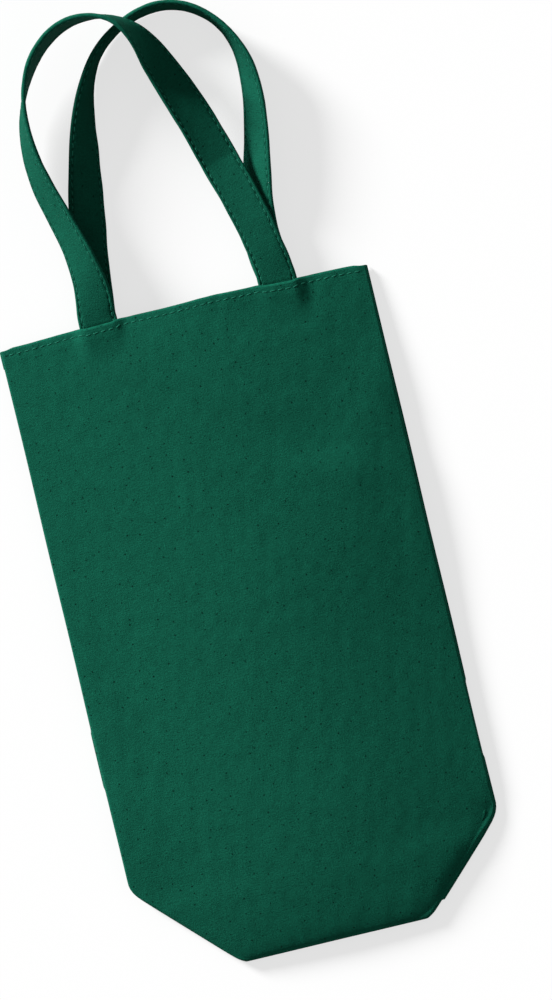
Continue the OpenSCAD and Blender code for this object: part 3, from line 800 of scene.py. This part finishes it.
def cotton(name, colour, fleck_share, wear_light):
    """Dyed plain-woven cotton. The weave is the product of two sine waves a thread apart;
    noise drawn out along each direction makes thick and thin threads; wide, middling and fine
    noise makes the dye uneven; dots of two sizes are dark seed flecks and other dots are pale
    lint; edges are a bit rubbed, and needle holes are darkened with painted shade."""
    net = Net(bpy.data.materials.new(name))
    flat = net.flat_place()
    place = net.stretched(net.add("ShaderNodeTexCoord", out="Object"), 1000.0, 1000.0, 1000.0)
    u = net.add("ShaderNodeSeparateXYZ", None, {0: flat})
    thread_pitch = 0.56
    turn = 2 * np.pi / thread_pitch
    weave = net.maths("SINE", u * turn) * net.maths("SINE", u.other(1) * turn)
    slub_u = net.noise(net.stretched(flat, 0.22, 1.9), 1.0, 2.0, 0.55) - 0.5
    slub_v = net.noise(net.stretched(flat, 1.9, 0.22), 1.0, 2.0, 0.55) - 0.5
    grain = net.noise(flat, 1.15, 3.0, 0.6) - 0.5
    patch = net.noise(place, 0.16, 3.0, 0.55) - 0.5
    wide = net.noise(place, 0.035, 2.0, 0.5) - 0.5
    uneven = (slub_u * 0.7 + slub_v * 0.45 + grain * 1.1 + patch * 0.4 + wide * 0.2
              + weave * 0.08)
    light = net.maths("ADD", uneven, 0.5, clamp=True)
    base = net.tint(shade(colour, 0.62), shade(colour, 1.38), light)
    ragged = net.stretched(net.noise(flat, 1.3).other("Color"), 1.1, 1.1)
    torn = net.add("ShaderNodeVectorMath", {"operation": "ADD"}, {0: flat, 1: ragged})
    flecks = []
    for cell, radius, share in ((8.0, 0.55, 0.55), (3.4, 0.4, 0.3)):
        dots = net.dots(torn, 1 / cell)
        chance = net.add("ShaderNodeSeparateXYZ", None, {0: dots.other("Color")})
        near = 1.0 - net.band(dots * cell, radius * 0.45, radius * 1.15)
        bare = 1 - share * fleck_share
        flecks.append(near * net.band(chance, bare - 0.02, bare + 0.02))
    dark = net.maths("MAXIMUM", flecks[0] * 0.95, flecks[1] * 0.6)
    base = net.tint(base, shade(colour, 0.22), dark)
    lint = (1.0 - net.band(net.dots(torn, 0.38) * 2.6, 0.1, 0.32)) * 0.28
    base = net.tint(base, shade(colour, 1.75), lint)
    # The mark: rubbed edges above 0, needle holes below 0
    hole_shade_and_wear = net.add("ShaderNodeAttribute", {"attribute_name": "wear_and_hole_shade"}, out="Fac")
    rubbed = net.maths("MAXIMUM", hole_shade_and_wear, 0.0) * net.band(net.noise(place, 0.7, 3.0), 0.35, 0.7)
    base = net.tint(base, shade(colour, 1.7), rubbed * wear_light)
    # Painted shade: needle holes darkened where the mark is below 0
    base = net.tint(base, shade(colour, 0.3), net.maths("MAXIMUM", hole_shade_and_wear * -0.65, 0.0))
    height = 0.5 + weave * 0.16 + slub_u * 0.55 + slub_v * 0.4 + grain * 0.95 + patch * 0.7
    return net.finish(base, 0.86 + grain * 0.16, height, 0.0003)


def sewing_thread(name, colour):
    """Spun sewing thread: slanted waves along the stitch are its twist, and noise makes its
    colour uneven."""
    net = Net(bpy.data.materials.new(name))
    flat = net.flat_place()
    u = net.add("ShaderNodeSeparateXYZ", None, {0: flat})
    twist = net.maths("SINE", u * 11.0 + u.other(1) * 7.0)
    fuzz = net.noise(flat, 1.6, 2.0) - 0.5
    light = net.maths("ADD", 0.5 + twist * 0.16, fuzz * 0.7, clamp=True)
    base = net.tint(shade(colour, 0.66), shade(colour, 1.3), light)
    return net.finish(base, 0.62 + fuzz * 0.2, 0.5 + twist * 0.5, 0.00007, specular=0.08)


def material(slot_name):
    """The material of a slot, in the colour that the panel gives. It is made at its first
    use."""
    colour = bpy.context.scene.carrier_colours
    name, make, values = {
        "cloth": ("dyed_cotton", cotton, (colour.cloth, 1.0, 0.5)),
        "inner_cloth": ("cotton_inside", cotton, (colour.inside, 0.6, 0.35)),
        "strap": ("strap_cotton", cotton, (colour.strap, 0.45, 0.6)),
        "thread": ("cotton_thread", sewing_thread, (colour.thread,)),
    }[slot_name]
    return bpy.data.materials.get(name) or make(name, *values)


def place_piece(name, built, slot_name, nodes, loop=None):
    """Puts a built piece into the scene and hides its CAD nodes: it rides on the bag, or, where
    a loop is given, keeps its place in the world with no parent."""
    piece = put_mesh(name, *built, slot_name)
    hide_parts(*nodes)
    if loop is None:
        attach(piece, "bag")
    else:
        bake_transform(piece)
    return piece


def length_property(name, description, value):
    """A size of the panel, in metres."""
    return bpy.props.FloatProperty(name=name, description=description, default=value,
                                   precision=5, unit="LENGTH")


def colour_property(name, description, value):
    """A colour of the panel."""
    return bpy.props.FloatVectorProperty(name=name, description=description, default=value,
                                         subtype="COLOR", size=3, min=0, max=1)


class CarrierSizes(bpy.types.PropertyGroup):
    """Sizes of the carrier, in metres."""
    bag_width: length_property(
        "Bag Width", "Width of the bag when it lies flat",
        round(BACK_BOX[1][0] - BACK_BOX[0][0], 4))
    bag_height: length_property(
        "Bag Height", "Height of the bag from the base fold to the mouth", 0.348)
    base_depth: length_property(
        "Base Depth", "Depth of the base when the bag stands open", 0.1)
    cloth_thickness: length_property(
        "Cloth Thickness", "Thickness of one layer of cloth", 0.0008)
    body_full: length_property(
        "Fullness", "Height of the front in the middle of the bag", 0.0145)
    mouth_full: length_property(
        "Mouth Fullness", "Height of the front in the middle of the mouth", 0.0125)
    hem_depth: length_property(
        "Hem Depth", "Depth of the turned edge of the mouth", 0.008)
    strap_width: length_property(
        "Strap Width", "Width of the strap handles", 0.0205)
    strap_thickness: length_property(
        "Strap Thickness", "Thickness of the folded and sewn straps", 0.0022)
    leg_gap: length_property(
        "Leg Gap", "Distance between the middles of a handle's two ends", 0.098)
    handle_reach: length_property(
        "Handle Reach", "How far a handle reaches above the mouth", 0.159)
    stitch_inset: length_property(
        "Stitch Inset", "Distance from the mouth to the hem's row of stitches", 0.0039)
    stitch_pitch: length_property(
        "Stitch Pitch", "Distance from one stitch to the next", 0.0042)
    stitch_length: length_property(
        "Stitch Length", "Length of a stitch as it shows on the cloth", 0.0029)
    thread_width: length_property(
        "Thread Width", "Width of the sewing thread", 0.00055)
    wrinkle: length_property(
        "Wrinkles", "Strength of the soft folds, where one millimetre is as made", 0.001)


class CarrierColours(bpy.types.PropertyGroup):
    """Colours of the carrier and its stage."""
    cloth: colour_property("Cloth", "Colour of the dyed cloth", (0.0048, 0.0880, 0.0528))
    inside: colour_property("Inside", "Colour of the cloth inside the bag",
                            (0.0044, 0.0760, 0.0456))
    strap: colour_property("Straps", "Colour of the straps", (0.0046, 0.0820, 0.0494))
    thread: colour_property("Thread", "Colour of the sewing thread", (0.0130, 0.1500, 0.0960))
    floor: colour_property("Floor", "Colour of the floor", (0.8, 0.8, 0.8))


class CARRIER_OT_cloth(bpy.types.Operator):
    """Make the front and back cloths with their hems"""
    bl_idname = "carrier.cloth"
    bl_label = "Front and Back"

    def execute(self, context):
        s = make_sizes()
        front = place_piece("bag_front", make_cloth(s, 1), "cloth", ["front_panel", "front_hem"])
        back = place_piece("bag_back", make_cloth(s, -1), "cloth", ["back_panel", "back_hem"])
        return {"FINISHED"}


class CARRIER_OT_base(bpy.types.Operator):
    """Make the base cloth that is folded up inside the bag"""
    bl_idname = "carrier.base"
    bl_label = "Folded Base"

    def execute(self, context):
        s = make_sizes()
        base = place_piece("bag_base", make_base(s), "inner_cloth",
                           ["base_gusset", "left_corner_fold", "right_corner_fold"])
        return {"FINISHED"}


class CARRIER_OT_seams(bpy.types.Operator):
    """Make the seam allowances inside the bag, with their rows of stitches"""
    bl_idname = "carrier.seams"
    bl_label = "Inside Seams"

    def execute(self, context):
        s = make_sizes()
        for name, hand in (("left", -1), ("right", 1)):
            self.side_seam(s, name, hand)
            self.corner_seam(s, name, hand)
        return {"FINISHED"}

    def seam_line(self, node):
        """The middle of a seam across, its two ends and its underside, from its CAD node."""
        low, high = (v * 1000 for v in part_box(node))
        return (low[0] + high[0]) / 2, low[1], high[1], low[2]

    def side_seam(self, s, name, hand):
        """The allowance along one side of the bag, with its row of stitches on top."""
        x, near, far, z = self.seam_line(f"{name}_side_seam")
        under, top = z + 0.08, z + 1.68
        place_piece(f"side_allowance_{name}",
                    allowance(s, x, near, far, under, thick=1.5, seed=50 + hand),
                    "inner_cloth", [f"{name}_side_seam"])
        place_piece(f"side_thread_{name}",
                    level_stitches(s, (x, near, top), (x, far, top), 1, 60 + hand),
                    "thread", [f"{name}_side_seam_stitches"])

    def corner_seam(self, s, name, hand):
        """The allowances of one squared corner, below and above the folded base, with a row of
        stitches on top."""
        x, near, far, _ = self.seam_line(f"{name}_corner_seam")
        under_low, under_high, top = 0.9, 4.66, 6.16
        low = allowance(s, x, near, far, under_low, thick=1.4, seed=70 + hand)
        high = allowance(s, x, near, far, under_high, thick=1.4, seed=80 + hand)
        place_piece(f"corner_allowance_{name}", joined([low, high]),
                    "inner_cloth", [f"{name}_corner_seam"])
        place_piece(f"corner_thread_{name}",
                    level_stitches(s, (x, near, top), (x, far, top), 1, 90 + hand),
                    "thread", [f"{name}_corner_seam_stitches"])


class CARRIER_OT_straps(bpy.types.Operator):
    """Make the two strap handles"""
    bl_idname = "carrier.straps"
    bl_label = "Strap Handles"

    def execute(self, context):
        s = make_sizes()
        for name, table, side in STRAPS:
            place_piece(f"strap_{name}", make_strap(s, table, side, 100 + 10 * side), "strap",
                        [f"{name}_handle", f"{name}_handle_tails"], f"{name}_loop")
        return {"FINISHED"}


class CARRIER_OT_strap_stitches(bpy.types.Operator):
    """Make the topstitching along both edges of the straps"""
    bl_idname = "carrier.strap_stitches"
    bl_label = "Strap Stitches"

    def execute(self, context):
        s = make_sizes()
        for name, table, side in STRAPS:
            for where, edge in (("inner", 1), ("outer", -1)):
                rows = stitch_block(s, *strap_rows(s, table, side, edge), flatness=0.7,
                                    seed=120 + edge + 3 * side)
                place_piece(f"strap_thread_{name}_{where}", rows, "thread",
                            [f"{name}_handle_{where}_stitches"], f"{name}_loop")
        return {"FINISHED"}


class CARRIER_OT_hem_stitches(bpy.types.Operator):
    """Make the stitches of the two hems and those that hold the strap ends"""
    bl_idname = "carrier.hem_stitches"
    bl_label = "Hem Stitches"

    def execute(self, context):
        s = make_sizes()
        self.hem_rows(s)
        self.tail_rows(s, "front", 1, s.tail_z[1] - 0.02)
        self.tail_rows(s, "back", -1, s.tail_z[-1] + s.strap_thickness + 0.02)
        return {"FINISHED"}

    def hem_rows(self, s):
        """The row along each hem: the front's lies on the cloth, and the back's is left out
        where a strap end covers it."""
        end_gap, front_lift, back_z = 4, 0.12, 2.42
        x = np.linspace(-s.half + end_gap, s.half - end_gap, 900)
        y = mouth_line(s, x, 1) - s.stitch_inset
        row = hem_row(s, x, y, front_height(s, x, y) + front_lift)
        place_piece("hem_thread_front", stitch_block(s, *row, flatness=0.7, seed=131),
                    "thread", ["front_hem_stitches"])
        row = hem_row(s, x, mouth_line(s, x, -1) - s.stitch_inset, back_z + 0 * x)
        free = np.interp(row[0][:, 0], x, strap_span(s, x, 1.0, 0.1)) < 0.1
        place_piece("hem_thread_back",
                    stitch_block(s, *(v[free] for v in row), flatness=0.6, seed=132),
                    "thread", ["back_hem_stitches"])

    def tail_rows(self, s, name, side, z):
        """Two short rows across each sewn strap end of one hem."""
        half_row, first_gap, row_gap = 9.2, 5, 1.6
        rows = []
        for c in s.leg_x:
            for y in (s.mouth_y - first_gap, s.mouth_y - first_gap - row_gap):
                ends = (c - half_row, y, z), (c + half_row, y, z)
                rows.append(level_stitches(s, *ends, -side, 140 + len(rows)))
        place_piece(f"tail_thread_{name}", joined(rows), "thread", [f"{name}_tail_stitches"])


class CARRIER_OT_stage(bpy.types.Operator):
    """Make the pale floor, the soft light and the camera"""
    bl_idname = "carrier.stage"
    bl_label = "Stage"

    def execute(self, context):
        scene = context.scene
        self.make_floor(scene)
        self.make_light(scene)
        self.make_camera(scene)
        scene.view_settings.view_transform = "Standard"
        return {"FINISHED"}

    def make_floor(self, scene):
        """A level square whose middle is finer; the camera sees it lighter than the light
        that it sends back."""
        drop = 0.35
        side = np.array([-4000, -800, -300, 0, 300, 800, 4000], float)
        x, y = np.meshgrid(side, side)
        points = np.stack([x, y, 0 * x - drop], axis=-1).reshape(-1, 3)
        net = Net(bpy.data.materials.new("pale_floor"))
        camera = net.add("ShaderNodeLightPath", out="Is Camera Ray")
        base = net.tint(shade(scene.carrier_colours.floor, 1.0), (1, 1, 1, 1), camera)
        lit = net.add("ShaderNodeBsdfDiffuse", None, {"Color": base, "Roughness": 0.0})
        glow = net.add("ShaderNodeEmission", None, {"Color": (1, 1, 1, 1), "Strength": 1.02})
        shader = net.add("ShaderNodeMixShader", None, {0: camera * 0.68, 1: lit, 2: glow})
        net.add("ShaderNodeOutputMaterial", None, {"Surface": shader})
        mesh = bpy.data.meshes.new("floor")
        mesh.from_pydata((points * MM).tolist(), [], grid_quads(7, 7).tolist())
        mesh.materials.append(net.owner)
        floor = bpy.data.objects.new("floor", mesh)
        scene.collection.objects.link(floor)

    def make_light(self, scene):
        """A wide sun from the photograph's upper left, and an even light from all round. The
        camera and mirror-like rays see white instead of that light."""
        light = bpy.data.lights.new("window", "SUN")
        light.energy = 6.8
        light.angle = np.radians(16)
        sun = bpy.data.objects.new("window", light)
        high, turn = np.radians(20), np.radians(133)
        sun.rotation_euler = (np.pi / 2 - high, 0, turn + np.pi / 2)
        scene.collection.objects.link(sun)
        scene.world = bpy.data.worlds.new("studio")
        net = Net(scene.world)
        seen = [net.add("ShaderNodeLightPath", out=f"Is {kind} Ray")
                for kind in ("Camera", "Glossy", "Transmission")]
        mirrored = net.maths("MAXIMUM", seen[0], net.maths("MAXIMUM", seen[1], seen[2]))
        back = net.add("ShaderNodeBackground", None, {"Strength": 0.26 + mirrored * 0.74})
        net.add("ShaderNodeOutputWorld", None, {"Surface": back})

    def make_camera(self, scene):
        """A long lens straight above, turned so that the bag leans as in the photograph."""
        data = bpy.data.cameras.new("camera")
        data.sensor_width = 36
        data.lens = 676.7
        data.clip_start, data.clip_end = 0.1, 100
        camera = bpy.data.objects.new("camera", data)
        camera.location = (0.0243, 0.0613, 10.0)
        camera.rotation_euler = (0, 0, np.radians(-13.45))
        scene.collection.objects.link(camera)
        scene.camera = camera


class CARRIER_PT_panel(bpy.types.Panel):
    """Sizes, colours and steps of the carrier"""
    bl_idname = "CARRIER_PT_panel"
    bl_label = "Bottle Carrier"
    bl_space_type = "VIEW_3D"
    bl_region_type = "UI"
    bl_category = "Carrier"

    def draw(self, context):
        column = self.layout.column()
        for group in (context.scene.carrier_sizes, context.scene.carrier_colours):
            for key in group.__annotations__:
                column.prop(group, key)
        for step in STEPS:
            column.operator(step.bl_idname)


STEPS = (CARRIER_OT_stage, CARRIER_OT_cloth, CARRIER_OT_base, CARRIER_OT_seams,
         CARRIER_OT_straps, CARRIER_OT_strap_stitches, CARRIER_OT_hem_stitches)
CLASSES = (CarrierSizes, CarrierColours) + STEPS + (CARRIER_PT_panel,)


def register():
    """Registers the classes and hangs the sizes and colours on the scene."""
    for each in CLASSES:
        bpy.utils.register_class(each)
    bpy.types.Scene.carrier_sizes = bpy.props.PointerProperty(type=CarrierSizes)
    bpy.types.Scene.carrier_colours = bpy.props.PointerProperty(type=CarrierColours)


def unregister():
    """Takes back what register did."""
    del bpy.types.Scene.carrier_colours
    del bpy.types.Scene.carrier_sizes
    for each in reversed(CLASSES):
        bpy.utils.unregister_class(each)


def main():
    """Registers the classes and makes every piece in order."""
    register()
    bpy.ops.carrier.stage()
    bpy.ops.carrier.cloth()
    bpy.ops.carrier.base()
    bpy.ops.carrier.seams()
    bpy.ops.carrier.straps()
    bpy.ops.carrier.strap_stitches()
    bpy.ops.carrier.hem_stitches()


if __name__ == "__main__":
    main()
